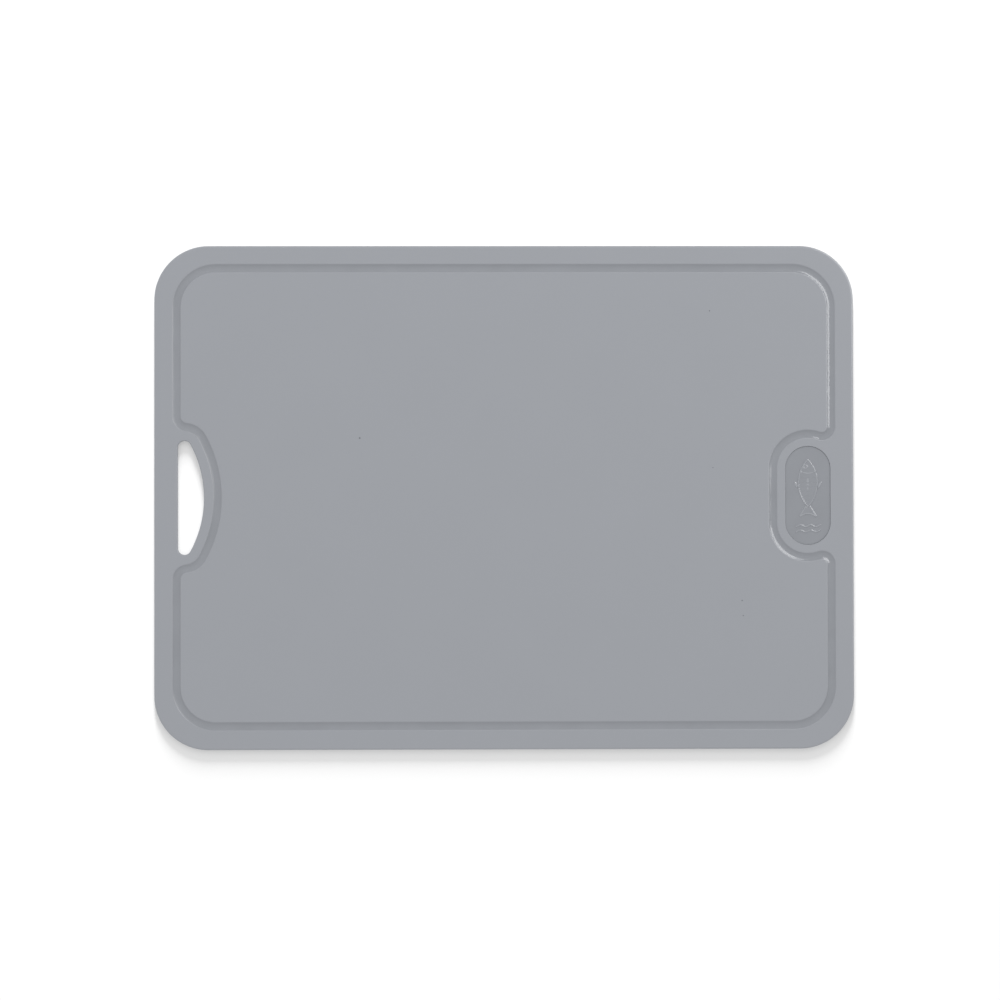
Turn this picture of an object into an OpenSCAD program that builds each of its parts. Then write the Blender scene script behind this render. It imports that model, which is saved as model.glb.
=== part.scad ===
// Flexible cutting mat with a juice groove, a hand slot and a seated food sign.
// The mat lies flat: +X to the right, +Y to the back, +Z up, underside centre at the origin.

/* [Sheet] */
// Width of the mat, left to right
mat_w = 375; // [300:1:460]
// Depth of the mat, front to back
mat_h = 270; // [210:1:340]
// Thickness of the plastic sheet
sheet_t = 2.6; // [2.2:0.1:4]
// Corner radius of the outline
corner_r = 29; // [18:0.5:36]
// Rounding of the upper edge
edge_r = 1.1; // [0.4:0.1:1.3]
// Rounding of the lower edge
under_edge_r = 0.7; // [0.3:0.1:0.9]

/* [Juice groove] */
// From the left, right and back edges of the mat to the middle of the groove
groove_inset = 12; // [9:0.5:16]
// From the front edge of the mat to the middle of the groove
groove_inset_front = 12.7; // [9:0.1:16]
// Depth of the groove
groove_d = 1.05; // [0.6:0.05:1.4]
// Radius of the round cutter that shapes the trough
trough_r = 3.1; // [2:0.1:4]
// Rounding of the two lips of the groove
lip_r = 0.8; // [0.3:0.1:1]
// Corner radius of the groove, at its middle
groove_corner_r = 21; // [12:0.5:28]
// Radius of the bends where the groove turns in to pass the slot
slot_bend_r = 6; // [4.5:0.5:9]
// Radius of the bends where the groove turns in to pass the sign
sign_bend_r = 5; // [4.5:0.5:7]

/* [Hand slot] */
// From the left edge of the mat to the straight side of the slot
slot_inset = 12.6; // [9:0.2:16]
// Width of the slot at its middle
slot_w = 14; // [12:0.5:18]
// Length of the slot
slot_l = 61; // [50:1:80]
// Radius of the two ends of the slot
slot_end_r = 3.6; // [3:0.2:5]
// Rounding of the slot's upper and lower edges
slot_edge_r = 0.7; // [0.3:0.1:0.9]
// Land between the slot and the middle of the groove
slot_land = 7.4; // [6:0.2:10]

/* [Food sign] */
// From the right edge of the mat to the middle of the sign
sign_inset = 24.6; // [21:0.2:30]
// How far the sign sits behind the middle of the mat
sign_shift = 0.8; // [-3:0.1:3]
// Width of the pocket for the sign
sign_w = 24.2; // [18:0.2:28]
// Length of the pocket for the sign
sign_l = 53; // [44:1:70]
// Depth of the pocket
pocket_d = 1.2; // [0.9:0.1:1.4]
// Rounding of the pocket's edge
pocket_edge_r = 0.3; // [0.2:0.05:0.5]
// Thickness of the badge that sits in the pocket
badge_t = 0.7; // [0.5:0.05:0.8]
// Rounding of the badge's upper edge
badge_edge_r = 0.1; // [0.1:0.05:0.3]
// Clearance all round the badge
badge_gap = 0.05; // [0.05:0.05:0.2]
// Land between the pocket and the middle of the groove
sign_land = 6.6; // [5:0.2:9]

/* [Grip backing] */
// From the left and right edges of the mat to the backing
grip_inset_x = 50; // [47:1:60]
// From the front and back edges of the mat to the backing
grip_inset_y = 20; // [17:1:40]
// Corner radius of the backing
grip_corner_r = 12; // [6:1:20]
// Depth of the recess that the backing is bonded into
grip_seat_d = 0.5; // [0.3:0.1:0.6]
// Clearance all round the backing
grip_gap = 0.15; // [0.05:0.05:0.3]
// How far the backing stands below the sheet
grip_stand = 0.4; // [0.3:0.1:0.6]
// Side of one raised grip pad
pad_w = 9; // [6:0.5:10]
// Distance from one grip pad to the next
pad_pitch = 12; // [11:1:20]
// Height of the grip pads
pad_d = 0.3; // [0.1:0.05:0.3]
// Border of the backing outside the grip pads
pad_border = 4; // [3:1:8]

/* [Hidden] */
$fn = 96;
// Overshoot of a cutter past the face that it opens
over = 1;
// The plastic is cut at this scale, where runs that meet within a hair's breadth close on each other
fine = 0.0001;
// Steps that a rounded edge and a round trough are drawn in
edge_steps = 5;
trough_steps = 8;

// Levels, from the surface that the mat lies on
sheet_z = grip_stand;
top_z = sheet_z + sheet_t;
pocket_z = top_z - pocket_d;

// Outline of the grip backing
grip_w = mat_w - 2 * grip_inset_x;
grip_h = mat_h - 2 * grip_inset_y;

// Middle lines of the groove's straight runs
left_x = -mat_w / 2 + groove_inset;
right_x = mat_w / 2 - groove_inset;
back_y = mat_h / 2 - groove_inset;
front_y = -mat_h / 2 + groove_inset_front;

// Slot: a straight side, two end arcs and one bow that meets them smoothly
slot_x = -mat_w / 2 + slot_inset;
slot_end = [slot_x + slot_end_r, slot_l / 2 - slot_end_r];
bow_reach = slot_w - slot_end_r;
bow_r = (pow(bow_reach, 2) + pow(slot_end[1], 2) - pow(slot_end_r, 2)) / (2 * (bow_reach - slot_end_r));
bow_x = slot_x + slot_w - bow_r;
bow_angle = atan2(slot_end[1], slot_end[0] - bow_x);

// Sign: a pocket with two round ends
sign_x = mat_w / 2 - sign_inset;
sign_end_r = sign_w / 2;
sign_half = sign_l / 2 - sign_end_r;

// Groove past the slot: at one distance from the slot's edge, with a bend at each end
shoulder_r = slot_end_r + slot_land;
slot_bend_x = left_x + slot_bend_r;
slot_bend = [slot_bend_x, slot_end[1] + rise(shoulder_r + slot_bend_r, slot_end[0] - slot_bend_x)];
slot_meet = 180 + atan2(slot_bend[1] - slot_end[1], slot_bend[0] - slot_end[0]);

// Groove past the sign: at one distance from the pocket's edge, with a bend at each end
crest_r = sign_end_r + sign_land;
sign_bend_x = right_x - sign_bend_r;
sign_bend_rise = rise(crest_r + sign_bend_r, sign_bend_x - sign_x);
sign_meet = 180 + atan2(-sign_bend_rise, sign_bend_x - sign_x);
sign_low = sign_shift - sign_half;
sign_high = sign_shift + sign_half;

// Third side of a right triangle
function rise(slant, run) = sqrt(slant * slant - run * run);

// A path is a list of lines [from, to] and arcs [centre, radius, angle from, angle to]
function box_path(w, h, r) = [
    [[w / 2, -h / 2 + r], [w / 2, h / 2 - r]],
    [[w / 2 - r, h / 2 - r], r, 0, 90],
    [[w / 2 - r, h / 2], [-w / 2 + r, h / 2]],
    [[-w / 2 + r, h / 2 - r], r, 90, 180],
    [[-w / 2, h / 2 - r], [-w / 2, -h / 2 + r]],
    [[-w / 2 + r, -h / 2 + r], r, 180, 270],
    [[-w / 2 + r, -h / 2], [w / 2 - r, -h / 2]],
    [[w / 2 - r, -h / 2 + r], r, 270, 360]
];

// Round ended slot outline about [x, y], anticlockwise
function stadium_path(x, y, r, half) = [
    [[x + r, y - half], [x + r, y + half]],
    [[x, y + half], r, 0, 180],
    [[x - r, y + half], [x - r, y - half]],
    [[x, y - half], r, 180, 360]
];

// Outline of the hand slot, anticlockwise
slot_path = [
    [[slot_x, slot_end[1]], [slot_x, -slot_end[1]]],
    [[slot_end[0], -slot_end[1]], slot_end_r, 180, 360 - bow_angle],
    [[bow_x, 0], bow_r, -bow_angle, bow_angle],
    [slot_end, slot_end_r, bow_angle, 180]
];

// Middle line of the groove, anticlockwise round the cutting panel
groove_path = [
    [[right_x, sign_high + sign_bend_rise], [right_x, back_y - groove_corner_r]],
    [[right_x - groove_corner_r, back_y - groove_corner_r], groove_corner_r, 0, 90],
    [[right_x - groove_corner_r, back_y], [left_x + groove_corner_r, back_y]],
    [[left_x + groove_corner_r, back_y - groove_corner_r], groove_corner_r, 90, 180],
    [[left_x, back_y - groove_corner_r], [left_x, slot_bend[1]]],
    [slot_bend, slot_bend_r, 180, slot_meet],
    [slot_end, shoulder_r, slot_meet - 180, bow_angle],
    [[bow_x, 0], bow_r + slot_land, bow_angle, -bow_angle],
    [[slot_end[0], -slot_end[1]], shoulder_r, -bow_angle, 180 - slot_meet],
    [[slot_bend[0], -slot_bend[1]], slot_bend_r, 360 - slot_meet, 180],
    [[left_x, -slot_bend[1]], [left_x, front_y + groove_corner_r]],
    [[left_x + groove_corner_r, front_y + groove_corner_r], groove_corner_r, 180, 270],
    [[left_x + groove_corner_r, front_y], [right_x - groove_corner_r, front_y]],
    [[right_x - groove_corner_r, front_y + groove_corner_r], groove_corner_r, 270, 360],
    [[right_x, front_y + groove_corner_r], [right_x, sign_low - sign_bend_rise]],
    [[sign_bend_x, sign_low - sign_bend_rise], sign_bend_r, 0, sign_meet],
    [[sign_x, sign_low], crest_r, sign_meet + 180, 180],
    [[sign_x - crest_r, sign_low], [sign_x - crest_r, sign_high]],
    [[sign_x, sign_high], crest_r, 180, 180 - sign_meet],
    [[sign_bend_x, sign_high + sign_bend_rise], sign_bend_r, 360 - sign_meet, 360]
];

// Draws the profile along one line or arc: profile x points left of the way, y points up
module run_along(part) {
    if (len(part) == 2) {
        way = part[1] - part[0];
        translate([part[0][0], part[0][1], 0])
            rotate([90, 0, atan2(way[1], way[0]) + 90])
                linear_extrude(height = norm(way))
                    children();
    } else {
        turn = part[3] - part[2];
        translate([part[0][0], part[0][1], 0])
            rotate([0, 0, min(part[2], part[3])])
                rotate_extrude(angle = abs(turn))
                    translate([part[1], 0])
                        mirror([turn > 0 ? 1 : 0, 0])
                            children();
    }
}

// Draws the profile along a whole path at height z, upside down where it cuts from below
module run_all(path, z, below = false) {
    for (part = path)
        scale(fine)
            translate([0, 0, z])
                mirror([0, 0, below ? 1 : 0])
                    run_along(part)
                        children();
}

module rounded_box(w, h, r) {
    square([w - 2 * r, h], center = true);
    square([w, h - 2 * r], center = true);
    for (x = [-1, 1], y = [-1, 1])
        translate([x * (w / 2 - r), y * (h / 2 - r)])
            circle(r);
}

module stadium(r, half) {
    square([2 * r, 2 * half], center = true);
    for (y = [-half, half])
        translate([0, y])
            circle(r);
}

// What a rounded edge takes off a square one, with the solid at profile x above 0 and y below 0
module edge_round(r) {
    polygon(concat(
        [[-over, -r], [-over, over], [r, over]],
        [for (i = [0:edge_steps]) r * [1 - sin(90 * i / edge_steps), cos(90 * i / edge_steps) - 1]]
    ));
}

// Cross section of the groove: a round trough between two rounded lips, open at y = 0
module groove_profile() {
    trough_y = trough_r - groove_d;
    lip_x = rise(trough_r + lip_r, trough_y + lip_r);
    lip_angle = asin(lip_x / (trough_r + lip_r));
    near = [for (i = [0:edge_steps - 1]) [lip_x - lip_r * sin(lip_angle * i / edge_steps),
        lip_r * (cos(lip_angle * i / edge_steps) - 1)]];
    trough = [for (i = [0:trough_steps]) [trough_r * sin(lip_angle * (1 - 2 * i / trough_steps)),
        trough_y - trough_r * cos(lip_angle * (1 - 2 * i / trough_steps))]];
    far = [for (i = [edge_steps - 1:-1:0]) [-near[i][0], near[i][1]]];
    polygon(concat([[lip_x, over]], near, trough, far, [[-lip_x, over]]));
}

// Opening of the hand slot: the straight side, the round ends and the bow
module slot_shape() {
    bow_edge = 2 * bow_r * [cos(bow_angle), sin(bow_angle)];
    intersection() {
        translate([bow_x, 0])
            circle(bow_r);
        translate([bow_x, 0])
            polygon([[0, 0], [bow_edge[0], -bow_edge[1]], bow_edge]);
        translate([slot_end[0], -slot_l / 2])
            square([slot_w, slot_l]);
    }
    translate([slot_x, -slot_end[1]])
        square([slot_end_r, 2 * slot_end[1]]);
    for (y = [-1, 1])
        translate([slot_end[0], y * slot_end[1]])
            circle(slot_end_r);
}

// One moulded sheet: rim, groove, cutting panel, hand slot, sign pocket and a recess underneath
module mat_sheet() {
    outline = box_path(mat_w, mat_h, corner_r);
    color("#9fa2a7")
        scale(1 / fine)
            difference() {
                scale(fine)
                    translate([0, 0, sheet_z])
                        linear_extrude(height = sheet_t)
                            rounded_box(mat_w, mat_h, corner_r);
                scale(fine)
                    translate([0, 0, sheet_z - over])
                        linear_extrude(height = sheet_t + 2 * over)
                            slot_shape();
                scale(fine)
                    translate([sign_x, sign_shift, pocket_z])
                        linear_extrude(height = pocket_d + over)
                            stadium(sign_end_r, sign_half);
                scale(fine)
                    translate([0, 0, sheet_z - over])
                        linear_extrude(height = over + grip_seat_d)
                            rounded_box(grip_w + 2 * grip_gap, grip_h + 2 * grip_gap,
                                grip_corner_r + grip_gap);
                run_all(outline, top_z)
                    edge_round(edge_r);
                run_all(outline, sheet_z, below = true)
                    edge_round(under_edge_r);
                run_all(slot_path, top_z)
                    mirror([1, 0])
                        edge_round(slot_edge_r);
                run_all(slot_path, sheet_z, below = true)
                    mirror([1, 0])
                        edge_round(slot_edge_r);
                run_all(stadium_path(sign_x, sign_shift, sign_end_r, sign_half), top_z)
                    mirror([1, 0])
                        edge_round(pocket_edge_r);
                run_all(groove_path, top_z)
                    groove_profile();
            }
}

// Plate seated in the pocket, its face below the cutting surface
module sign_badge() {
    badge_r = sign_end_r - badge_gap;
    color("#92969a")
        scale(1 / fine)
            difference() {
                scale(fine)
                    translate([sign_x, sign_shift, pocket_z])
                        linear_extrude(height = badge_t)
                            stadium(badge_r, sign_half);
                run_all(stadium_path(sign_x, sign_shift, badge_r, sign_half), pocket_z + badge_t)
                    edge_round(badge_edge_r);
            }
}

// Soft layer bonded under the cutting panel, with channels that part its face into grip pads
module grip_backing() {
    columns = 2 * floor((grip_w / 2 - pad_border - pad_w / 2) / pad_pitch) + 1;
    rows = 2 * floor((grip_h / 2 - pad_border - pad_w / 2) / pad_pitch) + 1;
    channel_w = pad_pitch - pad_w;
    color("#85888d")
        difference() {
            linear_extrude(height = sheet_z + grip_seat_d)
                rounded_box(grip_w, grip_h, grip_corner_r);
            for (i = [0:columns])
                translate([(i - columns / 2) * pad_pitch, 0, 0])
                    cube([channel_w, rows * pad_pitch + channel_w, 2 * pad_d], center = true);
            for (j = [0:rows])
                translate([0, (j - rows / 2) * pad_pitch, 0])
                    cube([columns * pad_pitch + channel_w, channel_w, 2 * pad_d], center = true);
        }
}

mat_sheet();
sign_badge();
grip_backing();
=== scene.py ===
import math

import bmesh
import bpy
from bpy.props import FloatProperty, FloatVectorProperty, IntProperty, PointerProperty
from mathutils import Matrix, Vector


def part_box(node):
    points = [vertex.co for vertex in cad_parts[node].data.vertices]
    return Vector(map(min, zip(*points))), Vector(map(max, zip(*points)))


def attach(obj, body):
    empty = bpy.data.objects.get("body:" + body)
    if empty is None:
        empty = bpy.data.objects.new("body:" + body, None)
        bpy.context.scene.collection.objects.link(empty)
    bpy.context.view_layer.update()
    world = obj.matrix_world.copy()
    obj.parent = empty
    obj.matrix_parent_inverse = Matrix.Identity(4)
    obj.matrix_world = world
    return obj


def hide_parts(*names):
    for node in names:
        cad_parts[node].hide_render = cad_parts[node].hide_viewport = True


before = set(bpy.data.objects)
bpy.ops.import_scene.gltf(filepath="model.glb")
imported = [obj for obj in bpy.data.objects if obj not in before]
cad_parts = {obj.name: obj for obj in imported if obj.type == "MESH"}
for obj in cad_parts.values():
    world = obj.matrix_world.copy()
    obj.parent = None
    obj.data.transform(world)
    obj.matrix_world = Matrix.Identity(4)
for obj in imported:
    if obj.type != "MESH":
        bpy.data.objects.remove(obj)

bl_info = {
    "name": "Flexible cutting mat",
    "version": (1, 0, 0),
    "blender": (4, 5, 0),
    "location": "View3D > Sidebar > Cutting mat",
    "description": "Makes a cutting mat's moulded sheet, fish sign, grip backing and studio",
    "category": "Object",
}

MM = 0.001
HAIR = 0.001 * MM  # Levels that differ by less count as one
DEGREE = math.pi / 180
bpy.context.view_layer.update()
SHEET_LOW, SHEET_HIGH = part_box("mat_sheet")
BADGE_LOW, BADGE_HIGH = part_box("sign_badge")
BACKING_LOW, BACKING_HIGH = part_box("grip_backing")


def linear(code):
    """An sRGB hex code as linear red, green and blue."""
    parts = [int(code[i:i + 2], 16) / 255 for i in (1, 3, 5)]
    return [c / 12.92 if c <= 0.04045 else ((c + 0.055) / 1.055) ** 2.4 for c in parts]


# Sizes and colours that a user may change

class SheetSizes(bpy.types.PropertyGroup):
    """Roundings and bends of the moulded sheet. Its outline and levels come from the frame."""
    corner_r: FloatProperty(
        name="Corner radius", description="Corners of the mat's outline", default=29 * MM,
        unit="LENGTH")
    edge_r: FloatProperty(
        name="Upper edge radius", description="Rounding of the upper edge", default=1.1 * MM,
        unit="LENGTH")
    under_edge_r: FloatProperty(
        name="Lower edge radius", description="Rounding of the lower edge", default=0.7 * MM,
        unit="LENGTH")
    inner_r: FloatProperty(
        name="Inner corner radius",
        description="Small radius that a mould leaves in an inner corner", default=0.15 * MM,
        unit="LENGTH")
    flat: FloatProperty(
        name="Flat beside a rounding", description="Level strip kept beside each rounded edge",
        default=0.3 * MM, unit="LENGTH")
    recess_gap: FloatProperty(
        name="Recess gap", description="Clearance between the recess and the backing",
        default=0.15 * MM, unit="LENGTH")
    round_steps: IntProperty(
        name="Rounding steps", description="Steps that each rounding is drawn in", default=10,
        min=2)
    arc_step: FloatProperty(
        name="Arc step", description="Turn from one point of an arc to the next",
        default=2.5 * DEGREE, subtype="ANGLE")


class GrooveSizes(bpy.types.PropertyGroup):
    """Section of the juice groove and the way that it takes."""
    inset: FloatProperty(
        name="Inset", description="From the left, right and back edges to the middle of the groove",
        default=12 * MM, unit="LENGTH")
    inset_front: FloatProperty(
        name="Inset at the front", description="From the front edge to the middle of the groove",
        default=12.7 * MM, unit="LENGTH")
    depth: FloatProperty(
        name="Depth", description="Depth of the trough", default=1.05 * MM, unit="LENGTH")
    trough_r: FloatProperty(
        name="Trough radius", description="Radius of the trough's round bottom", default=3.05 * MM,
        unit="LENGTH")
    lip_r: FloatProperty(
        name="Lip radius", description="Rounding of the two lips", default=0.8 * MM, unit="LENGTH")
    slope: FloatProperty(
        name="Wall slope", description="Slope of the walls where they meet the lips",
        default=43.05 * DEGREE, subtype="ANGLE")
    corner_r: FloatProperty(
        name="Corner radius", description="Corners of the groove, at its middle", default=21 * MM,
        unit="LENGTH")
    slot_bend_r: FloatProperty(
        name="Bend at the slot", description="Bends where the groove turns in past the slot",
        default=6 * MM, unit="LENGTH")
    sign_bend_r: FloatProperty(
        name="Bend at the sign", description="Bends where the groove turns in past the sign",
        default=5 * MM, unit="LENGTH")
    slot_land: FloatProperty(
        name="Land at the slot", description="From the slot to the middle of the groove",
        default=7.4 * MM, unit="LENGTH")
    sign_land: FloatProperty(
        name="Land at the sign", description="From the sign's pocket to the middle of the groove",
        default=6.6 * MM, unit="LENGTH")


class SlotSizes(bpy.types.PropertyGroup):
    """Hand slot with one straight side and one bowed side."""
    inset: FloatProperty(
        name="Inset", description="From the mat's edge to the straight side", default=12.6 * MM,
        unit="LENGTH")
    width: FloatProperty(
        name="Width", description="Width at the middle of the bow", default=14 * MM, unit="LENGTH")
    long: FloatProperty(
        name="Length", description="Length of the slot", default=61 * MM, unit="LENGTH")
    end_r: FloatProperty(
        name="End radius", description="Radius of the two ends", default=3.6 * MM, unit="LENGTH")
    edge_r: FloatProperty(
        name="Edge radius", description="Rounding of both edges", default=0.7 * MM, unit="LENGTH")


class SignSizes(bpy.types.PropertyGroup):
    """Pocket, badge and raised fish sign."""
    gap: FloatProperty(
        name="Gap", description="Clearance all round the badge", default=0.05 * MM, unit="LENGTH")
    pocket_edge_r: FloatProperty(
        name="Pocket edge radius", description="Rounding of the pocket's edge", default=0.2 * MM,
        unit="LENGTH")
    badge_edge_r: FloatProperty(
        name="Badge edge radius", description="Rounding of the badge's edge", default=0.1 * MM,
        unit="LENGTH")
    width: FloatProperty(
        name="Field width", description="Width of the field that holds the raised sign",
        default=15.6 * MM, unit="LENGTH")
    height: FloatProperty(
        name="Field height", description="Height of the field that holds the raised sign",
        default=42.6 * MM, unit="LENGTH")
    relief: FloatProperty(
        name="Relief", description="Height of the fish at its middle", default=0.42 * MM,
        unit="LENGTH")
    cell: FloatProperty(
        name="Cell", description="Distance between the points that the sign is drawn on",
        default=0.18 * MM, unit="LENGTH")


class BackingSizes(bpy.types.PropertyGroup):
    """Grip backing and its raised pads."""
    corner_r: FloatProperty(
        name="Corner radius", description="Corners of the backing", default=12 * MM, unit="LENGTH")
    pad_w: FloatProperty(
        name="Pad width", description="Side of one pad", default=9 * MM, unit="LENGTH")
    pitch: FloatProperty(
        name="Pad pitch", description="From one pad to the next", default=12 * MM, unit="LENGTH")
    pad_d: FloatProperty(
        name="Pad height", description="Depth of the channels between pads", default=0.3 * MM,
        unit="LENGTH")
    pad_corner_r: FloatProperty(
        name="Pad corner radius", description="Rounding of a pad's four corners", default=1.1 * MM,
        unit="LENGTH")
    pad_edge_r: FloatProperty(
        name="Pad edge radius", description="Rounding of a pad's face", default=0.12 * MM,
        unit="LENGTH")
    columns: IntProperty(name="Columns", description="Pads from left to right", default=21, min=1)
    rows: IntProperty(name="Rows", description="Pads from front to back", default=17, min=1)


class MatColours(bpy.types.PropertyGroup):
    """Colours of the mat's plastics."""
    satin: FloatVectorProperty(
        name="Satin sheet", description="Grey of the satin faces", default=linear("#9da0a6"),
        size=3, min=0, max=1, subtype="COLOR")
    # Painted shade: the polished grey is the satin plastic painted darker, for the shade in the
    # groove and pocket and a painted darker reflection of their polished faces
    polished: FloatVectorProperty(
        name="Polished groove", description="Grey of the groove and pocket",
        default=linear("#94979d"), size=3, min=0, max=1, subtype="COLOR")
    # Painted reflection: the badge's grey is painted darker than the plastic, for the darker
    # reflection of its polished face
    badge: FloatVectorProperty(
        name="Badge", description="Grey of the badge", default=linear("#92959b"), size=3, min=0,
        max=1, subtype="COLOR")
    speck: FloatVectorProperty(
        name="Specks", description="Dark specks in the sheet", default=linear("#6c6f74"), size=3,
        min=0, max=1, subtype="COLOR")
    backing: FloatVectorProperty(
        name="Backing", description="Grey of the grip backing", default=linear("#85888d"), size=3,
        min=0, max=1, subtype="COLOR")


class StudioSettings(bpy.types.PropertyGroup):
    """Camera and light."""
    lens: FloatProperty(
        name="Lens", description="Focal length in millimetres on a 36 mm sensor", default=85)
    pixels_per_mm: FloatProperty(
        name="Pixels per mm", description="Scale of the 1000 pixel picture at the mat",
        default=1.8661)
    middle_x: FloatProperty(
        name="Middle, column", description="Column of the mat's middle in the picture",
        default=504.45)
    middle_y: FloatProperty(
        name="Middle, row", description="Row of the mat's middle in the picture", default=497.37)
    lean_x: FloatProperty(
        name="Lean to the left", description="Camera's lean to the left of straight above",
        default=0.78 * DEGREE, subtype="ANGLE")
    lean_y: FloatProperty(
        name="Lean to the front", description="Camera's lean to the front of straight above",
        default=0.73 * DEGREE, subtype="ANGLE")
    roll: FloatProperty(
        name="Roll", description="Camera's turn about its own axis", default=0.095 * DEGREE,
        subtype="ANGLE")
    sky: FloatProperty(
        name="Sky", description="Light from all round, where 1 is white", default=0.815)
    key: FloatProperty(
        name="Key", description="Softbox at the right, where 1 is white", default=5.5)
    low: FloatProperty(name="Low", description="Softbox behind, where 1 is white", default=1.2)
    floor_low: FloatProperty(
        name="Low on the floor",
        description="Low softbox that lights only the floor, where 1 is white", default=135)
    floor_glow: FloatProperty(
        name="Floor glow", description="What the camera sees added to the floor", default=0.26)


GROUPS = {
    "mat_sheet_sizes": SheetSizes,
    "mat_groove_sizes": GrooveSizes,
    "mat_slot_sizes": SlotSizes,
    "mat_sign_sizes": SignSizes,
    "mat_backing_sizes": BackingSizes,
    "mat_colours": MatColours,
    "mat_studio": StudioSettings,
}


# Paths are lists of lines (from, to) and arcs (centre, radius, angle from, angle to)

def rise(slant, run):
    """Third side of a right triangle."""
    return math.sqrt(slant * slant - run * run)


def box_path(w, h, r):
    """Rounded rectangle about the origin, anticlockwise."""
    x, y = w / 2, h / 2
    return [
        ((x, -y + r), (x, y - r)), ((x - r, y - r), r, 0, 90),
        ((x - r, y), (-x + r, y)), ((-x + r, y - r), r, 90, 180),
        ((-x, y - r), (-x, -y + r)), ((-x + r, -y + r), r, 180, 270),
        ((-x + r, -y), (x - r, -y)), ((x - r, -y + r), r, 270, 360),
    ]


def stadium_path(x, y, r, half):
    """Outline with two round ends about (x, y), anticlockwise."""
    return [
        ((x + r, y - half), (x + r, y + half)), ((x, y + half), r, 0, 180),
        ((x - r, y + half), (x - r, y - half)), ((x, y - half), r, 180, 360),
    ]


def sign_place():
    """Middle of the sign, radius of the badge's round ends and half of its straight length."""
    x, y = (BADGE_LOW.x + BADGE_HIGH.x) / 2, (BADGE_LOW.y + BADGE_HIGH.y) / 2
    r = (BADGE_HIGH.x - BADGE_LOW.x) / 2
    return x, y, r, (BADGE_HIGH.y - BADGE_LOW.y) / 2 - r


def slot_bow(slot):
    """Upper end arc's middle, the bow's middle and radius, and the angle where the two meet."""
    x, r = SHEET_LOW.x + slot.inset, slot.end_r
    end = (x + r, slot.long / 2 - r)
    reach = slot.width - r
    bow_r = (reach ** 2 + end[1] ** 2 - r ** 2) / (2 * (reach - r))
    bow_x = x + slot.width - bow_r
    return end, bow_x, bow_r, math.atan2(end[1], end[0] - bow_x) / DEGREE


def slot_path(slot):
    """Outline of the hand slot, anticlockwise."""
    end, bow_x, bow_r, angle = slot_bow(slot)
    x, y, r = end[0], end[1], slot.end_r
    return [
        ((x - r, y), (x - r, -y)), ((x, -y), r, 180, 360 - angle),
        ((bow_x, 0), bow_r, -angle, angle), ((x, y), r, angle, 180),
    ]


def groove_path(groove, slot, sign):
    """Middle line of the groove, anticlockwise, with its two turns past the slot and the sign."""
    left, right = SHEET_LOW.x + groove.inset, SHEET_HIGH.x - groove.inset
    back, front = SHEET_HIGH.y - groove.inset, SHEET_LOW.y + groove.inset_front
    corner = groove.corner_r
    (x, y), bow_x, bow_r, angle = slot_bow(slot)
    shoulder, bend = slot.end_r + groove.slot_land, groove.slot_bend_r
    bend_x = left + bend
    bend_y = y + rise(shoulder + bend, x - bend_x)
    meet = 180 + math.atan2(bend_y - y, bend_x - x) / DEGREE
    sign_x, sign_y, badge_r, half = sign_place()
    crest, turn = badge_r + sign.gap + groove.sign_land, groove.sign_bend_r
    turn_x = right - turn
    turn_rise = rise(crest + turn, turn_x - sign_x)
    part = 180 + math.atan2(-turn_rise, turn_x - sign_x) / DEGREE
    low, high = sign_y - half, sign_y + half
    return [
        ((right, high + turn_rise), (right, back - corner)),
        ((right - corner, back - corner), corner, 0, 90),
        ((right - corner, back), (left + corner, back)),
        ((left + corner, back - corner), corner, 90, 180),
        ((left, back - corner), (left, bend_y)),
        ((bend_x, bend_y), bend, 180, meet),
        ((x, y), shoulder, meet - 180, angle),
        ((bow_x, 0), bow_r + groove.slot_land, angle, -angle),
        ((x, -y), shoulder, -angle, 180 - meet),
        ((bend_x, -bend_y), bend, 360 - meet, 180),
        ((left, -bend_y), (left, front + corner)),
        ((left + corner, front + corner), corner, 180, 270),
        ((left + corner, front), (right - corner, front)),
        ((right - corner, front + corner), corner, 270, 360),
        ((right, front + corner), (right, low - turn_rise)),
        ((turn_x, low - turn_rise), turn, 0, part),
        ((sign_x, low), crest, part + 180, 180),
        ((sign_x - crest, low), (sign_x - crest, high)),
        ((sign_x, high), crest, 180, 180 - part),
        ((turn_x, high + turn_rise), turn, 360 - part, 360),
    ]


def path_points(path, step):
    """Points of a closed path: the start of each line, and arcs in steps of the given turn."""
    points = []
    for part in path:
        if len(part) == 2:
            points.append(part[0])
            continue
        (x, y), r, start, stop = part
        count = max(2, math.ceil(abs(stop - start) * DEGREE / step))
        for i in range(count):
            turn = (start + (stop - start) * i / count) * DEGREE
            points.append((x + r * math.cos(turn), y + r * math.sin(turn)))
    return points


# Nodes

# A Mix node's sockets share their names, so they go by number
MIX_FACTOR, MIX_VALUES, MIX_COLOURS = 0, (2, 3), (6, 7)
MIXED_VALUE, MIXED_COLOUR = 0, 2


def add_node(tree, kind, inputs=None, **settings):
    """Adds a node. Each input is a value, or a socket that it is linked from."""
    node = tree.nodes.new(kind)
    for name, value in settings.items():
        setattr(node, name, value)
    for key, value in (inputs or {}).items():
        if isinstance(value, bpy.types.NodeSocket):
            tree.links.new(value, node.inputs[key])
        else:
            node.inputs[key].default_value = value
    return node


def start_tree(name, inputs):
    """A Geometry Nodes tree with named inputs, and the sockets that give them."""
    tree = bpy.data.node_groups.new(name, "GeometryNodeTree")
    tree.is_modifier = True
    for label, kind in inputs.items():
        tree.interface.new_socket(label, in_out="INPUT", socket_type="NodeSocket" + kind)
    tree.interface.new_socket("Mesh", in_out="OUTPUT", socket_type="NodeSocketGeometry")
    return tree, add_node(tree, "NodeGroupInput").outputs


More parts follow.
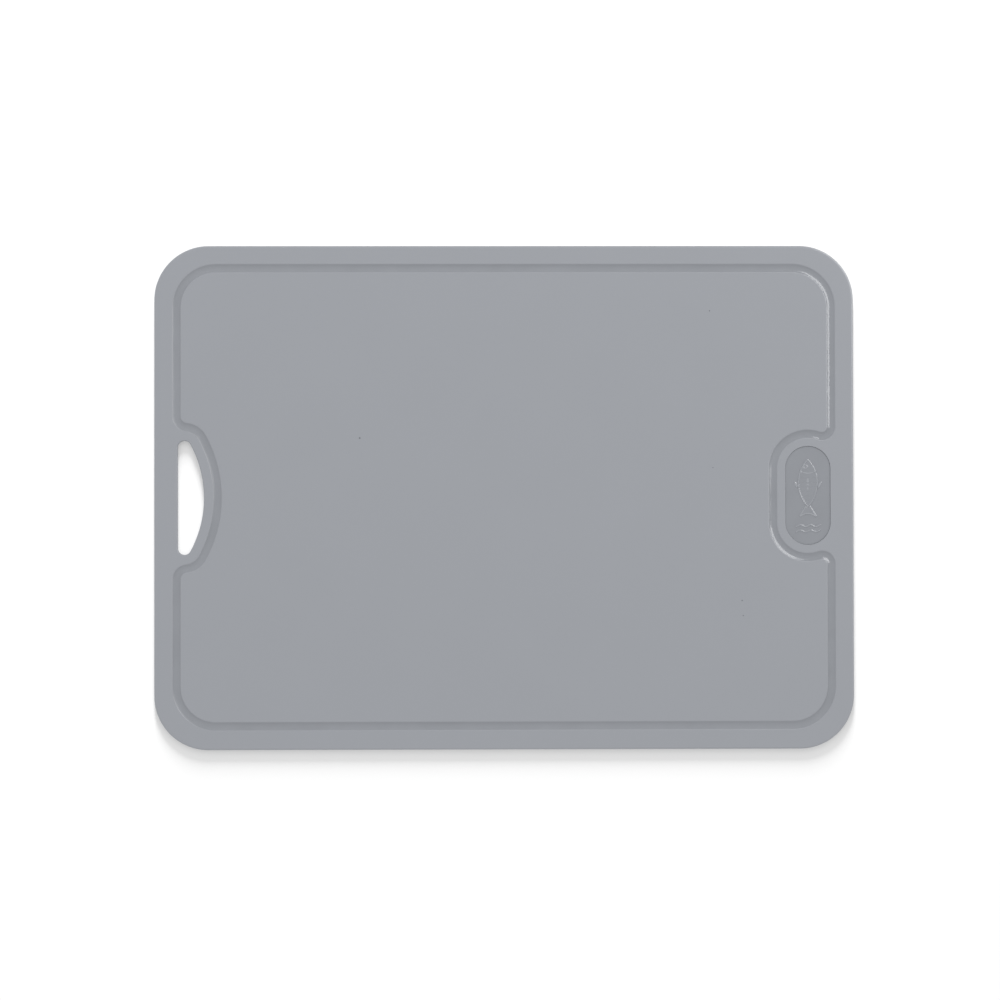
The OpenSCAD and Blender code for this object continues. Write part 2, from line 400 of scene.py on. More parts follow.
def end_tree(tree, geometry, material):
    """Realizes the instances, sets the material and gives the result to the tree's output."""
    real = add_node(tree, "GeometryNodeRealizeInstances", {"Geometry": geometry})
    painted = add_node(tree, "GeometryNodeSetMaterial", {
        "Geometry": real.outputs["Geometry"], "Material": material})
    add_node(tree, "NodeGroupOutput", {"Mesh": painted.outputs["Geometry"]})
    return tree


def moulded_edge_tree():
    """Rounds each corner of a profile by its own radius and draws the profile along a path."""
    tree, given = start_tree("Moulded edge along a path", {
        "Path": "Geometry", "Profile": "Object", "Rounding steps": "Int", "Material": "Material"})
    profile = add_node(tree, "GeometryNodeObjectInfo", {"Object": given["Profile"]})
    corner = add_node(tree, "GeometryNodeInputRadius")
    rounded = add_node(tree, "GeometryNodeFilletCurve", {
        "Curve": profile.outputs["Geometry"], "Count": given["Rounding steps"],
        "Radius": corner.outputs["Radius"]}, mode="POLY")
    drawn = add_node(tree, "GeometryNodeCurveToMesh", {
        "Curve": given["Path"], "Profile Curve": rounded.outputs["Curve"]})
    return end_tree(tree, drawn.outputs["Mesh"], given["Material"])


def grip_pads_tree():
    """Sets one pad at each point of a grid."""
    tree, given = start_tree("Grip pads on a grid", {
        "Geometry": "Geometry", "Pad": "Object", "Columns": "Int", "Rows": "Int",
        "Width": "Float", "Depth": "Float", "Material": "Material"})
    grid = add_node(tree, "GeometryNodeMeshGrid", {
        "Size X": given["Width"], "Size Y": given["Depth"],
        "Vertices X": given["Columns"], "Vertices Y": given["Rows"]})
    pad = add_node(tree, "GeometryNodeObjectInfo", {"Object": given["Pad"]})
    pads = add_node(tree, "GeometryNodeInstanceOnPoints", {
        "Points": grid.outputs["Mesh"], "Instance": pad.outputs["Geometry"]})
    return end_tree(tree, pads.outputs["Instances"], given["Material"])


def link_object(name, data):
    """A new object in the scene, at the origin."""
    made = bpy.data.objects.new(name, data)
    bpy.context.scene.collection.objects.link(made)
    return made


def run_tree(carrier, tree, inputs):
    """The plain mesh that a tree makes of an object. The object is used up."""
    modifier = carrier.modifiers.new(tree.name, "NODES")
    modifier.node_group = tree
    sockets = {s.name: s.identifier for s in tree.interface.items_tree if s.in_out == "INPUT"}
    for name, value in inputs.items():
        modifier[sockets[name]] = value
    graph = bpy.context.evaluated_depsgraph_get()
    mesh = bpy.data.meshes.new_from_object(carrier.evaluated_get(graph), depsgraph=graph)
    bpy.data.objects.remove(carrier)
    return mesh


def line_object(name, points, radii=None):
    """A curve through points: closed, or open with a radius at each point."""
    data = bpy.data.curves.new(name, "CURVE")
    data.dimensions, data.twist_mode = "3D", "Z_UP"
    spline = data.splines.new("POLY")
    spline.points.add(len(points) - 1)
    for i, (x, y) in enumerate(points):
        spline.points[i].co = (x, y, 0, 1)
        spline.points[i].radius = radii[i] if radii else 1
    spline.use_cyclic_u = radii is None
    return link_object(name, data)


# Roundings bend less than this from one step to the next, and real edges more
SHARP = 40 * DEGREE


class Shell:
    """A closed moulded shell: edges drawn along paths, and level faces between their rims."""

    def __init__(self, materials):
        self.materials, self.mesh, self.tree = materials, bmesh.new(), moulded_edge_tree()

    def take(self, mesh, material):
        """Adds a mesh and returns its new faces."""
        before = len(self.mesh.faces)
        self.mesh.from_mesh(mesh)
        self.mesh.faces.ensure_lookup_table()
        new = self.mesh.faces[before:]
        for face in new:
            face.material_index = material
        return new

    def edge(self, path, profile, material):
        """Draws a profile of (distance left of the way, height, radius) along a path. Returns its
        two rims, the lower one first, or the shorter one where they are level."""
        sizes = bpy.context.scene.mat_sheet_sizes
        way = line_object("way", path_points(path, sizes.arc_step))
        # The tree lays a profile down turned half round about the way
        shape = line_object(
            "profile", [(-x, -z) for x, z, _ in profile], [r for _, _, r in profile])
        mesh = run_tree(way, self.tree, {
            "Profile": shape, "Rounding steps": sizes.round_steps,
            "Material": self.materials[material]})
        bpy.data.objects.remove(shape)
        rims = self.rims(self.open_edges(self.take(mesh, material)))
        return sorted(rims, key=lambda rim: (
            round(rim[0].verts[0].co.z / HAIR), sum(e.calc_length() for e in rim)))

    def open_edges(self, faces):
        """The edges at which some faces end, in the mesh's own order."""
        self.mesh.edges.index_update()
        found = {e for face in faces for e in face.edges if e.is_boundary}
        return sorted(found, key=lambda e: e.index)

    @staticmethod
    def rims(edges):
        """Splits open edges into connected rims, in an order that is the same each run."""
        found, left = [], set(edges)
        for edge in edges:
            if edge not in left:
                continue
            left.remove(edge)
            rim, ends = [], [edge]
            while ends:
                rim.append(ends.pop())
                near = [e for v in rim[-1].verts for e in v.link_edges if e in left]
                left.difference_update(near)
                ends.extend(near)
            found.append(rim)
        return found

    def fill(self, rims, material):
        """Fills the level face between rims."""
        made = bmesh.ops.triangle_fill(
            self.mesh, edges=[e for rim in rims for e in rim], use_beauty=True,
            normal=Vector((0, 0, 1)))
        for face in made["geom"]:
            if isinstance(face, bmesh.types.BMFace):
                face.material_index = material

    def finish(self, name, node):
        """Makes the piece in place of its CAD node, with its faces outward, its roundings smooth
        and its level faces flat."""
        bmesh.ops.recalc_face_normals(self.mesh, faces=self.mesh.faces)
        torn = sum(not e.is_manifold for e in self.mesh.edges)
        if torn:
            raise RuntimeError(f"{name} has {torn} open edges")
        for face in self.mesh.faces:
            face.smooth = True
        data = bpy.data.meshes.new(name)
        self.mesh.to_mesh(data)
        self.mesh.free()
        for material in self.materials:
            data.materials.append(material)
        data.set_sharp_from_angle(angle=SHARP)
        piece = link_object(name, data)
        level = piece.modifiers.new("Level faces", "WEIGHTED_NORMAL")
        level.mode, level.weight, level.keep_sharp = "FACE_AREA", 100, True
        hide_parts(node)
        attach(piece, "root")
        return piece


# Materials

# Most of a noise's values lie between these two
NOISE_LOW, NOISE_HIGH = 0.3, 0.7


def start_material(name):
    """A node material with its shader, and the object coordinates."""
    material = bpy.data.materials.new(name)
    material.use_nodes = True
    tree = material.node_tree
    tree.nodes.clear()
    shader = add_node(tree, "ShaderNodeBsdfPrincipled")
    add_node(tree, "ShaderNodeOutputMaterial", {"Surface": shader.outputs["BSDF"]})
    return material, tree, shader, add_node(tree, "ShaderNodeTexCoord").outputs["Object"]


def clouded_colour(tree, place, colour, width, detail, low, high):
    """A colour under faint clouds of a real width, from low to high, and the clouds' pattern."""
    cloud = add_node(tree, "ShaderNodeTexNoise", {
        "Vector": place, "Scale": 1 / width, "Detail": detail})
    shade = add_node(tree, "ShaderNodeMapRange", {
        "Value": cloud.outputs["Fac"], "From Min": NOISE_LOW, "From Max": NOISE_HIGH,
        "To Min": low, "To Max": high})
    base = add_node(tree, "ShaderNodeVectorMath", {
        0: colour, "Scale": shade.outputs["Result"]}, operation="SCALE")
    return base.outputs["Vector"], cloud.outputs["Fac"]


def moulded_grain(tree, place, width, detail, height, strength, over=None):
    """A normal with a grain of a real width and height, laid over another normal if there is
    one, and the grain's pattern."""
    grain = add_node(tree, "ShaderNodeTexNoise", {
        "Vector": place, "Scale": 1 / width, "Detail": detail})
    inputs = {"Height": grain.outputs["Fac"], "Strength": strength, "Distance": height}
    if over is not None:
        inputs["Normal"] = over
    bump = add_node(tree, "ShaderNodeBump", inputs)
    return bump.outputs["Normal"], grain.outputs["Fac"]


def finish_plastic(tree, shader, base, normal, pattern, roughness, spread, ior):
    """Gives the shader its colour, normal and IOR, and a roughness that follows a pattern."""
    rough = add_node(tree, "ShaderNodeMapRange", {
        "Value": pattern, "From Min": NOISE_LOW, "From Max": NOISE_HIGH,
        "To Min": roughness - spread, "To Max": roughness + spread})
    tree.links.new(base, shader.inputs["Base Color"])
    tree.links.new(normal, shader.inputs["Normal"])
    tree.links.new(rough.outputs["Result"], shader.inputs["Roughness"])
    shader.inputs["IOR"].default_value = ior


POLYPROPYLENE_IOR = 1.49

# Dark specks in the sheet: place from the mat's middle and width, in millimetres
SPECKS = [
    (-77.5, 31.9, 1.2), (110.3, 100.0, 0.9), (127.4, -55.5, 0.9), (128.0, -63.6, 0.8),
    (111.9, 15.8, 0.7)]


def satin_polypropylene(name, colours, grain_depth):
    """Soft polypropylene, injection moulded against a spark-eroded tool. The depth of its grain
    is 1 on the faces and near 0 on lips and raised lines, where the tool is smoother."""
    # An even satin grey: a fine pebble grain spreads every reflection, the melt's flow leaves
    # faint clouds, and a few specks of darker resin show. Where the grain is near 0, the rounded
    # lips catch thin bright lines
    material, tree, shader, place = start_material(name)
    base, _ = clouded_colour(
        tree, place, colours.satin, width=40 * MM, detail=3, low=0.993, high=1.005)
    for x, y, width in SPECKS:
        away = add_node(tree, "ShaderNodeVectorMath", {
            0: place, 1: (x * MM, y * MM, SHEET_HIGH.z)}, operation="DISTANCE")
        spot = add_node(tree, "ShaderNodeMapRange", {
            "Value": away.outputs["Value"],
            "From Min": width * MM / 2, "From Max": width * MM / 4})
        mixed = add_node(tree, "ShaderNodeMix", {
            MIX_FACTOR: spot.outputs["Result"], MIX_COLOURS[0]: base,
            MIX_COLOURS[1]: (*colours.speck, 1)}, data_type="RGBA")
        base = mixed.outputs[MIXED_COLOUR]
    # The tool's grain is about 0.1 mm, too fine to show, so it is drawn three times as coarse
    fine, grain = moulded_grain(
        tree, place, width=0.3 * MM, detail=2, height=0.01 * MM, strength=0.3 * grain_depth)
    sunk, _ = moulded_grain(
        tree, place, width=9 * MM, detail=1, height=0.03 * MM, strength=0.5 * grain_depth,
        over=fine)
    finish_plastic(
        tree, shader, base, sunk, grain, roughness=0.38, spread=0.03 * grain_depth,
        ior=POLYPROPYLENE_IOR)
    return material


def polished_polypropylene(name, colour, roughness):
    """The same plastic, moulded against a polished part of the tool."""
    # Wetter looking than the satin faces, with a soft sheen that wavers a little. The smoother
    # finish is real; the darker grey it is given is painted shade in the groove and a painted
    # darker reflection of the polished faces
    material, tree, shader, place = start_material(name)
    base, cloud = clouded_colour(
        tree, place, colour, width=14 * MM, detail=2, low=0.97, high=1.02)
    ripple, _ = moulded_grain(
        tree, place, width=1.5 * MM, detail=2, height=0.006 * MM, strength=0.4)
    finish_plastic(
        tree, shader, base, ripple, cloud, roughness, spread=0.03, ior=POLYPROPYLENE_IOR)
    return material


def matt_elastomer(name, colour):
    """Thermoplastic elastomer, moulded against a coarsely eroded tool."""
    # Matt, dry and rubbery, with a grain that can be felt and a dull sheen at a low angle
    material, tree, shader, place = start_material(name)
    base, _ = clouded_colour(tree, place, colour, width=30 * MM, detail=3, low=0.95, high=1.03)
    coarse, grain = moulded_grain(
        tree, place, width=0.5 * MM, detail=3, height=0.04 * MM, strength=0.6)
    finish_plastic(tree, shader, base, coarse, grain, roughness=0.75, spread=0.05, ior=1.5)
    return material


# Moulded sheet

# Places of the materials in the sheet's list
SATIN, POLISHED_PAINTED_DARK, LIPS = 0, 1, 2


def groove_profile(groove, flat):
    """Round trough between two rounded lips."""
    top = SHEET_HIGH.z
    point = groove.depth + groove.trough_r * (1 / math.cos(groove.slope) - 1)
    half = point / math.tan(groove.slope)
    rim = half + groove.lip_r * math.tan(groove.slope / 2) + flat
    return [
        (-rim, top, 0), (-half, top, groove.lip_r), (0, top - point, groove.trough_r),
        (half, top, groove.lip_r), (rim, top, 0)]


def make_sheet(scene):
    """The moulded sheet: rim, groove, cutting panel, hand slot, pocket and recess."""
    sizes, groove, slot = scene.mat_sheet_sizes, scene.mat_groove_sizes, scene.mat_slot_sizes
    sign, backing, colours = scene.mat_sign_sizes, scene.mat_backing_sizes, scene.mat_colours
    top, bottom, pocket_z, recess_z = SHEET_HIGH.z, SHEET_LOW.z, BADGE_LOW.z, BACKING_HIGH.z
    flat, inner, gap = sizes.flat, sizes.inner_r, 2 * sizes.recess_gap
    x, y, badge_r, half = sign_place()
    shell = Shell([
        satin_polypropylene("satin moulded polypropylene", colours, grain_depth=1),
        # The polished grey is painted darker: painted shade and a painted darker reflection in the
        # groove and pocket
        polished_polypropylene(
            "polished moulded polypropylene", colours.polished, roughness=0.17),
        satin_polypropylene("smooth satin moulded polypropylene", colours, grain_depth=0.05)])

    outer_low, outer_top = shell.edge(
        box_path(SHEET_HIGH.x - SHEET_LOW.x, SHEET_HIGH.y - SHEET_LOW.y, sizes.corner_r),
        [(sizes.edge_r + flat, top, 0), (0, top, sizes.edge_r),
         (0, bottom, sizes.under_edge_r), (sizes.under_edge_r + flat, bottom, 0)], SATIN)
    panel, groove_rim = shell.edge(
        groove_path(groove, slot, sign), groove_profile(groove, flat), POLISHED_PAINTED_DARK)
    slot_low, slot_top = shell.edge(
        slot_path(slot),
        [(-slot.edge_r - flat, top, 0), (0, top, slot.edge_r),
         (0, bottom, slot.edge_r), (-slot.edge_r - flat, bottom, 0)], SATIN)
    pocket_floor, pocket_top = shell.edge(
        stadium_path(x, y, badge_r + sign.gap, half),
        [(-sign.pocket_edge_r - flat, top, 0), (0, top, sign.pocket_edge_r),
         (0, pocket_z, inner), (inner + flat, pocket_z, 0)], POLISHED_PAINTED_DARK)
    recess_low, recess_top = shell.edge(
        box_path(BACKING_HIGH.x - BACKING_LOW.x + gap, BACKING_HIGH.y - BACKING_LOW.y + gap,
                 backing.corner_r + gap / 2),
        [(-inner - flat, bottom, 0), (0, bottom, inner),
         (0, recess_z, inner), (inner + flat, recess_z, 0)], SATIN)

    shell.fill([outer_top, groove_rim, slot_top, pocket_top], SATIN)
    shell.fill([panel], SATIN)
    shell.fill([pocket_floor], POLISHED_PAINTED_DARK)
    shell.fill([outer_low, slot_low, recess_low], SATIN)
    shell.fill([recess_top], SATIN)
    # The polish stops below the groove's lips and the pocket's edge, which are smooth satin
    lip_height = groove.lip_r * (1 - math.cos(groove.slope))
    polish_top = top - lip_height - HAIR
    for face in shell.mesh.faces:
        if face.material_index == POLISHED_PAINTED_DARK and min(v.co.z for v in face.verts) > polish_top:
            face.material_index = LIPS
    shell.finish("moulded_sheet", "mat_sheet")


# Fish sign. Sizes are in millimetres from the sign's middle, and heights run from 0 to 1

LINE_HEIGHT = 0.85
OUTLINE_HALF_W, DETAIL_HALF_W, WAVE_HALF_W = 0.45, 0.4, 0.5
SCALES_TOP = 10.6


def leaf_outline(x, y, half_length, half_width):
    """How far a point lies outside an upright leaf, the shape of the body and of a fin."""
    r = (half_length ** 2 + half_width ** 2) / (2 * half_width)
    return math.hypot(abs(x) + r - half_width, y) - r


def tail_outline(x, y):
    """How far a point lies outside the tail: a fan from its root, with a round fork cut out."""
    root_y, spread, slant, fan_r = -3.2, 0.62, 0.85, 9.4
    fork_y, fork_r = -15.6, 5.4
    side = (abs(x) - spread * (root_y - y)) * slant
    return max(side, fork_r - math.hypot(x, y - fork_y), math.hypot(x, y - root_y) - fan_r)


def fin_outline(x, y):
    """How far a point lies outside the two fins, which lean out from the body."""
    middle_x, middle_y, cosine, sine = 5.9, 5.2, 0.82, 0.57
    across, along = abs(x) - middle_x, y - middle_y
    return leaf_outline(
        across * cosine - along * sine, across * sine + along * cosine, half_length=3.0,
        half_width=1.0)


def scale_outline(x, y):
    """How far a point lies from the round edge of its scale. Every second row is shifted."""
    middle_y, pitch, width, r = SCALES_TOP + 0.3, 2.4, 3.2, 1.9
    row = math.floor((SCALES_TOP - y) / pitch)
    across = (x + (row % 2) * width / 2) % width - width / 2
    return abs(math.hypot(across, y - (middle_y - pitch * row)) - r)


def smooth_rise(value, start, stop):
    """Smooth rise from 0 at start to 1 at stop."""
    t = min(max((value - start) / (stop - start), 0), 1)
    return t * t * (3 - 2 * t)


def raised_line(away, half_width):
    """Height of a fine raised line with a round top."""
    return LINE_HEIGHT * (1 - smooth_rise(abs(away), 0.3 * half_width, half_width))


def body_height(x, y, inside):
    """Height of the domed body, with its scales, gill and eye, at a distance inside its outline."""
    height = 0.4 * smooth_rise(inside, 0, 0.5) + 0.25 * smooth_rise(inside, 0.9, 5.5)
    if y < SCALES_TOP:
        cut = 1 - smooth_rise(scale_outline(x, y), 0, 0.38)
        height -= 0.25 * smooth_rise(inside, 0.9, 1.5) * cut * smooth_rise(y, -4.5, -2.5)
    gill_y, gill_r, gill_top = 20.5, 8.6, 16.5
    eye_x, eye_y, eye_r = -1.3, 15.4, 0.95
    gill = max(abs(math.hypot(x, y - gill_y) - gill_r), y - gill_top)
    eye = math.hypot(x - eye_x, y - eye_y) - eye_r
    return max(height, raised_line(gill, DETAIL_HALF_W), raised_line(eye, DETAIL_HALF_W))


def fish_relief(x, y):
    """Height of a fish that swims upward over two waves, from 0 to 1."""
    body_y, half_length, half_width = 6.6, 13.2, 5.5
    wave_levels, wave_length, wave_rise, wave_half = (-16.3, -19.1), 5.6, 0.5, 6.3
    body = leaf_outline(x, y - body_y, half_length, half_width)
    if body < 0:
        height = body_height(x, y, -body)
    else:
        tail, fin = tail_outline(x, y), fin_outline(x, y)
        height = max(
            0.6 * smooth_rise(-tail, 0, 0.7), raised_line(tail + OUTLINE_HALF_W, OUTLINE_HALF_W),
            LINE_HEIGHT * smooth_rise(-fin, 0, 0.5))
    height = max(height, raised_line(body + OUTLINE_HALF_W, OUTLINE_HALF_W))
    for level in wave_levels:
        away = (y - level - wave_rise * math.sin(x * 2 * math.pi / wave_length)) * 0.9
        past_end = max(abs(x) - wave_half, 0)
        height = max(height, raised_line(math.hypot(away, past_end), WAVE_HALF_W))
    return height


# Places of the materials in the badge's list
FACE, LINES = 0, 1


def make_sign(scene):
    """The badge with its raised fish."""
    sizes, sign, colours = scene.mat_sheet_sizes, scene.mat_sign_sizes, scene.mat_colours
    x, y, badge_r, half = sign_place()
    low, top = BADGE_LOW.z, BADGE_HIGH.z
    under_flat, under_edge_r = 0.6 * MM, 0.05 * MM
    shell = Shell([
        # The badge's grey is painted darker: a painted darker reflection of its polished face
        polished_polypropylene(
            "polished moulded polypropylene badge", colours.badge, roughness=0.13),
        satin_polypropylene(
            "smooth satin moulded polypropylene lines", colours, grain_depth=0.05)])
    under, rim = shell.edge(
        stadium_path(x, y, badge_r, half),
        [(under_flat, low, 0), (0, low, under_edge_r), (0, top, sign.badge_edge_r),
         (sign.badge_edge_r + sizes.flat, top, 0)], FACE)
    columns, rows = round(sign.width / sign.cell), round(sign.height / sign.cell)
    field = bmesh.new()
    bmesh.ops.create_grid(
        field, x_segments=columns, y_segments=rows, size=0.5,
        matrix=Matrix.Diagonal((sign.width, sign.height, 1, 1)))
    for point in field.verts:
        u, v = point.co.x / MM, point.co.y / MM
        point.co = (x + point.co.x, y + point.co.y, top + sign.relief * fish_relief(u, v))
    patch = bpy.data.meshes.new("fish field")
    field.to_mesh(patch)
    field.free()
    shell.fill([rim, shell.open_edges(shell.take(patch, FACE))], FACE)
    shell.fill([under], FACE)
    # The tops of the raised lines are smooth satin in the plain grey, so they stand out from the
    # field, which is painted darker
    satin_from = top + 0.75 * LINE_HEIGHT * sign.relief
    for face in shell.mesh.faces:
        if face.calc_center_median().z > satin_from:
            face.material_index = LINES
    shell.finish("fish_sign_badge", "sign_badge")


# Grip backing

# No two points or faces of a pad lie equally far along this direction
ORDER = Vector((1, 0.618, 0.314))


def pad_object(sizes, low):
    """One grip pad, its face at the given level and its root sunk a little into the backing."""
    root = sizes.pad_d + 0.05 * MM
    place = Matrix.Translation((0, 0, low + root / 2))
    pad = bmesh.new()
    bmesh.ops.create_cube(
        pad, size=1, matrix=place @ Matrix.Diagonal((sizes.pad_w, sizes.pad_w, root, 1)))
    upright = [e for e in pad.edges if abs(e.verts[0].co.z - e.verts[1].co.z) > root / 2]
    bmesh.ops.bevel(
        pad, geom=upright, offset=sizes.pad_corner_r, segments=3, affect="EDGES", profile=0.5)
    face = [e for e in pad.edges if max(v.co.z for v in e.verts) < low + root / 2]
    bmesh.ops.bevel(
        pad, geom=face, offset=sizes.pad_edge_r, segments=2, affect="EDGES", profile=0.5)
    # A bevel leaves its faces in another order each run, so they are put in order by place
    pad.verts.sort(key=lambda v: v.co.dot(ORDER))
    pad.faces.sort(key=lambda f: f.calc_center_median().dot(ORDER))
    data = bpy.data.meshes.new("pad")
    pad.to_mesh(data)
    pad.free()
    return link_object("pad", data)


SOFT = 0


def make_backing(scene):
    """The grip backing: a thin slab with a border and a field of pads."""
    sizes, flat = scene.mat_backing_sizes, scene.mat_sheet_sizes.flat
    low, top = BACKING_LOW.z, BACKING_HIGH.z
    channel, gap = low + sizes.pad_d, sizes.pitch - sizes.pad_w
    upper_edge_r, lower_edge_r, channel_r = 0.1 * MM, 0.15 * MM, 0.1 * MM
    soft = matt_elastomer("matt moulded thermoplastic elastomer", scene.mat_colours.backing)
    shell = Shell([soft])
    under, upper = shell.edge(
        box_path(BACKING_HIGH.x - BACKING_LOW.x, BACKING_HIGH.y - BACKING_LOW.y, sizes.corner_r),
        [(upper_edge_r + flat, top, 0), (0, top, upper_edge_r),
         (0, low, lower_edge_r), (lower_edge_r + flat, low, 0)], SOFT)
    border, ceiling = shell.edge(
        box_path(sizes.columns * sizes.pitch + gap, sizes.rows * sizes.pitch + gap,
                 sizes.pad_corner_r),
        [(-sizes.pad_edge_r - flat, low, 0), (0, low, sizes.pad_edge_r),
         (0, channel, channel_r), (channel_r + flat, channel, 0)], SOFT)
    shell.fill([upper], SOFT)
    shell.fill([under, border], SOFT)
    shell.fill([ceiling], SOFT)
    pad = pad_object(sizes, low)
    carrier = link_object("pad carrier", bpy.data.meshes.new("pad carrier"))
    pads = run_tree(carrier, grip_pads_tree(), {
        "Pad": pad, "Columns": sizes.columns, "Rows": sizes.rows,
        "Width": (sizes.columns - 1) * sizes.pitch, "Depth": (sizes.rows - 1) * sizes.pitch,
        "Material": soft})
    bpy.data.objects.remove(pad)
    shell.take(pads, SOFT)
    shell.finish("grip_backing_pads", "grip_backing")


# Studio

SENSOR = 36  # Width in millimetres
PICTURE = 1000  # Width and height in pixels


def softbox(name, place, aim, width, height, brightness, roll=0):
    """A rectangular lamp turned to a point. Its brightness is 1 where it would look white."""
    data = bpy.data.lights.new(name, "AREA")
    data.shape, data.size, data.size_y = "RECTANGLE", width, height
    data.energy = brightness * math.pi * width * height
    lamp = link_object(name, data)
    lamp.location = place
    turn = (Vector(aim) - Vector(place)).to_track_quat("-Z", "Y").to_matrix()
    lamp.rotation_euler = (turn @ Matrix.Rotation(roll, 3, "Z")).to_euler()
    lamp.visible_camera = False
    return lamp


def seen_directly(tree):
    """1 for what the camera sees itself, by reflection or through glass, and 0 for other light."""
    path = add_node(tree, "ShaderNodeLightPath").outputs
    mirrored = add_node(tree, "ShaderNodeMath", {
        0: path["Is Camera Ray"], 1: path["Is Glossy Ray"]}, operation="MAXIMUM")
    return add_node(tree, "ShaderNodeMath", {
        0: mirrored.outputs[0], 1: path["Is Transmission Ray"]}, operation="MAXIMUM").outputs[0]


def lay_floor(studio):
    """Plain pale floor, just below the mat. What the camera sees of it also glows a little."""
    drop = 0.05 * MM
    bpy.ops.mesh.primitive_plane_add(size=8, location=(0, 0, -drop))
    floor = bpy.context.object
    floor.name = "floor"
    paper = bpy.data.materials.new("white backdrop paper")
    paper.use_nodes = True
    shader = paper.node_tree.nodes["Principled BSDF"]
    shader.inputs["Base Color"].default_value = (*linear("#c2c2c2"), 1)
    shader.inputs["Roughness"].default_value = 0.9
    shader.inputs["Specular IOR Level"].default_value = 0
    shader.inputs["Emission Color"].default_value = (1, 1, 1, 1)
    glow = add_node(paper.node_tree, "ShaderNodeMath", {
        0: seen_directly(paper.node_tree), 1: studio.floor_glow}, operation="MULTIPLY")
    paper.node_tree.links.new(glow.outputs[0], shader.inputs["Emission Strength"])
    floor.data.materials.append(paper)
    return floor


def light_from_all_round(scene, studio):
    """Even light from all round, from a sky that looks white itself."""
    world = bpy.data.worlds.new("studio")
    world.use_nodes = True
    scene.world = world
    sky = world.node_tree.nodes["Background"]
    sky.inputs["Color"].default_value = (1, 1, 1, 1)
    level = add_node(world.node_tree, "ShaderNodeMix", {
        MIX_FACTOR: seen_directly(world.node_tree), MIX_VALUES[0]: studio.sky, MIX_VALUES[1]: 1})
    world.node_tree.links.new(level.outputs[MIXED_VALUE], sky.inputs["Strength"])


def set_softboxes(studio, floor):
    """The key is only seen in reflections, where it draws the thin bright lines along the
    groove. The two low boxes only light, and one of them lights nothing but the floor."""
    key = softbox(
        "key", place=(0.75, 0.45, 0.4), aim=(0.17, 0.08, 0), width=0.92, height=0.66,
        brightness=studio.key, roll=-20 * DEGREE)
    key.visible_diffuse = False
    low = softbox(
        "low", place=(0, 0.85, 0.85), aim=(0, 0, 0), width=1.4, height=0.55,
        brightness=studio.low)
    low.visible_glossy = False
    floor_low = softbox(
        "low on the floor", place=(-0.1, 2.9, 0.7), aim=(0, 0, 0), width=0.5, height=1.2,
        brightness=studio.floor_low)
    floor_low.visible_glossy = False
    lit = bpy.data.collections.new("floor only")
    lit.objects.link(floor)
    floor_low.light_linking.receiver_collection = lit


def hang_card():
    """A white card, upright over the middle of the mat and seen only in reflections. It keeps
    the key's bright lines off the left half."""
    bpy.ops.mesh.primitive_plane_add(
        size=1, location=(0.03, 0.2, 0.31), rotation=(0, math.pi / 2, 0))
    card = bpy.context.object
    card.name = "card"
    card.scale = (0.6, 0.8, 1)
    card.visible_camera = card.visible_diffuse = False
    card.visible_shadow = card.visible_transmission = False
    white = bpy.data.materials.new("white card")
    white.use_nodes = True
    white.node_tree.nodes.clear()
    light = add_node(white.node_tree, "ShaderNodeEmission")
    add_node(white.node_tree, "ShaderNodeOutputMaterial", {"Surface": light.outputs[0]})
    # Sampled as a lamp, the card would leave a faint line on the mat
    white.cycles.emission_sampling = "NONE"
    card.data.materials.append(white)


def set_camera(scene, studio):
    """The camera, almost straight above the mat."""
    data = bpy.data.cameras.new("camera")
    data.lens, data.sensor_width = studio.lens, SENSOR
    data.clip_start, data.clip_end = 0.01, 50
    camera = link_object("camera", data)
    distance = studio.lens / SENSOR * PICTURE / studio.pixels_per_mm * MM
    middle = Vector((0, 0, SHEET_HIGH.z))
    lean = Vector((-math.tan(studio.lean_x), -math.tan(studio.lean_y), 1))
    camera.location = middle + distance * lean
    scale = MM / studio.pixels_per_mm
    off_x, off_y = PICTURE / 2 - studio.middle_x, studio.middle_y - PICTURE / 2
    aim = middle + Vector((off_x, off_y, 0)) * scale
    back = (camera.location - aim).normalized()
    right = Vector((math.sin(studio.roll), math.cos(studio.roll), 0)).cross(back).normalized()
    camera.rotation_euler = Matrix((right, back.cross(right), back)).transposed().to_euler()
    scene.camera = camera


def make_studio(scene):
    """White floor, soft light and the camera above the mat."""
    studio = scene.mat_studio
    scene.view_settings.view_transform = "Standard"
    floor = lay_floor(studio)
    light_from_all_round(scene, studio)
    set_softboxes(studio, floor)
    hang_card()
    set_camera(scene, studio)


# Operators and panel

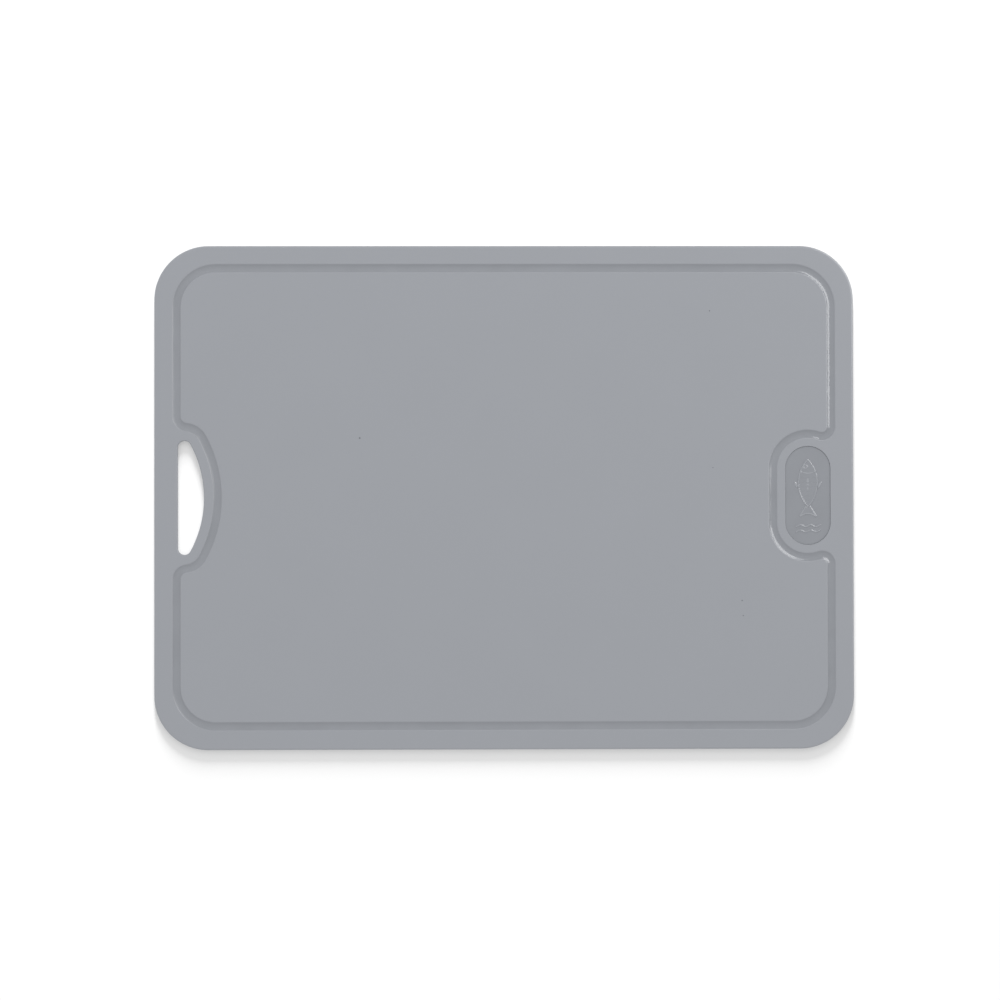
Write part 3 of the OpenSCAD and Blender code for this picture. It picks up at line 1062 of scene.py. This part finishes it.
class CUTTINGMAT_OT_sheet(bpy.types.Operator):
    """Make the moulded sheet with its groove, hand slot, pocket and recess"""
    bl_idname = "cutting_mat.sheet"
    bl_label = "Moulded sheet"

    def execute(self, context):
        make_sheet(context.scene)
        return {"FINISHED"}


class CUTTINGMAT_OT_sign(bpy.types.Operator):
    """Make the badge with its raised fish sign"""
    bl_idname = "cutting_mat.sign"
    bl_label = "Fish sign badge"

    def execute(self, context):
        make_sign(context.scene)
        return {"FINISHED"}


class CUTTINGMAT_OT_backing(bpy.types.Operator):
    """Make the grip backing with its pads"""
    bl_idname = "cutting_mat.backing"
    bl_label = "Grip backing"

    def execute(self, context):
        make_backing(context.scene)
        return {"FINISHED"}


class CUTTINGMAT_OT_studio(bpy.types.Operator):
    """Make the floor, the light and the camera"""
    bl_idname = "cutting_mat.studio"
    bl_label = "Studio"

    def execute(self, context):
        make_studio(context.scene)
        return {"FINISHED"}


OPERATORS = (CUTTINGMAT_OT_sheet, CUTTINGMAT_OT_sign, CUTTINGMAT_OT_backing, CUTTINGMAT_OT_studio)


class CUTTINGMAT_PT_panel(bpy.types.Panel):
    """Lists the pieces of the cutting mat with their sizes"""
    bl_label = "Cutting mat"
    bl_space_type = "VIEW_3D"
    bl_region_type = "UI"
    bl_category = "Cutting mat"

    def draw(self, context):
        for operator in OPERATORS:
            self.layout.operator(operator.bl_idname)
        for name, group in GROUPS.items():
            box = self.layout.box()
            box.label(text=group.__doc__)
            for key in group.__annotations__:
                box.prop(getattr(context.scene, name), key)


CLASSES = (*GROUPS.values(), *OPERATORS, CUTTINGMAT_PT_panel)


def register():
    for cls in CLASSES:
        bpy.utils.register_class(cls)
    for name, group in GROUPS.items():
        setattr(bpy.types.Scene, name, PointerProperty(type=group))


def unregister():
    for name in GROUPS:
        delattr(bpy.types.Scene, name)
    for cls in reversed(CLASSES):
        bpy.utils.unregister_class(cls)


def main():
    register()
    bpy.ops.cutting_mat.sheet()
    bpy.ops.cutting_mat.sign()
    bpy.ops.cutting_mat.backing()
    bpy.ops.cutting_mat.studio()


if __name__ == "__main__":
    main()
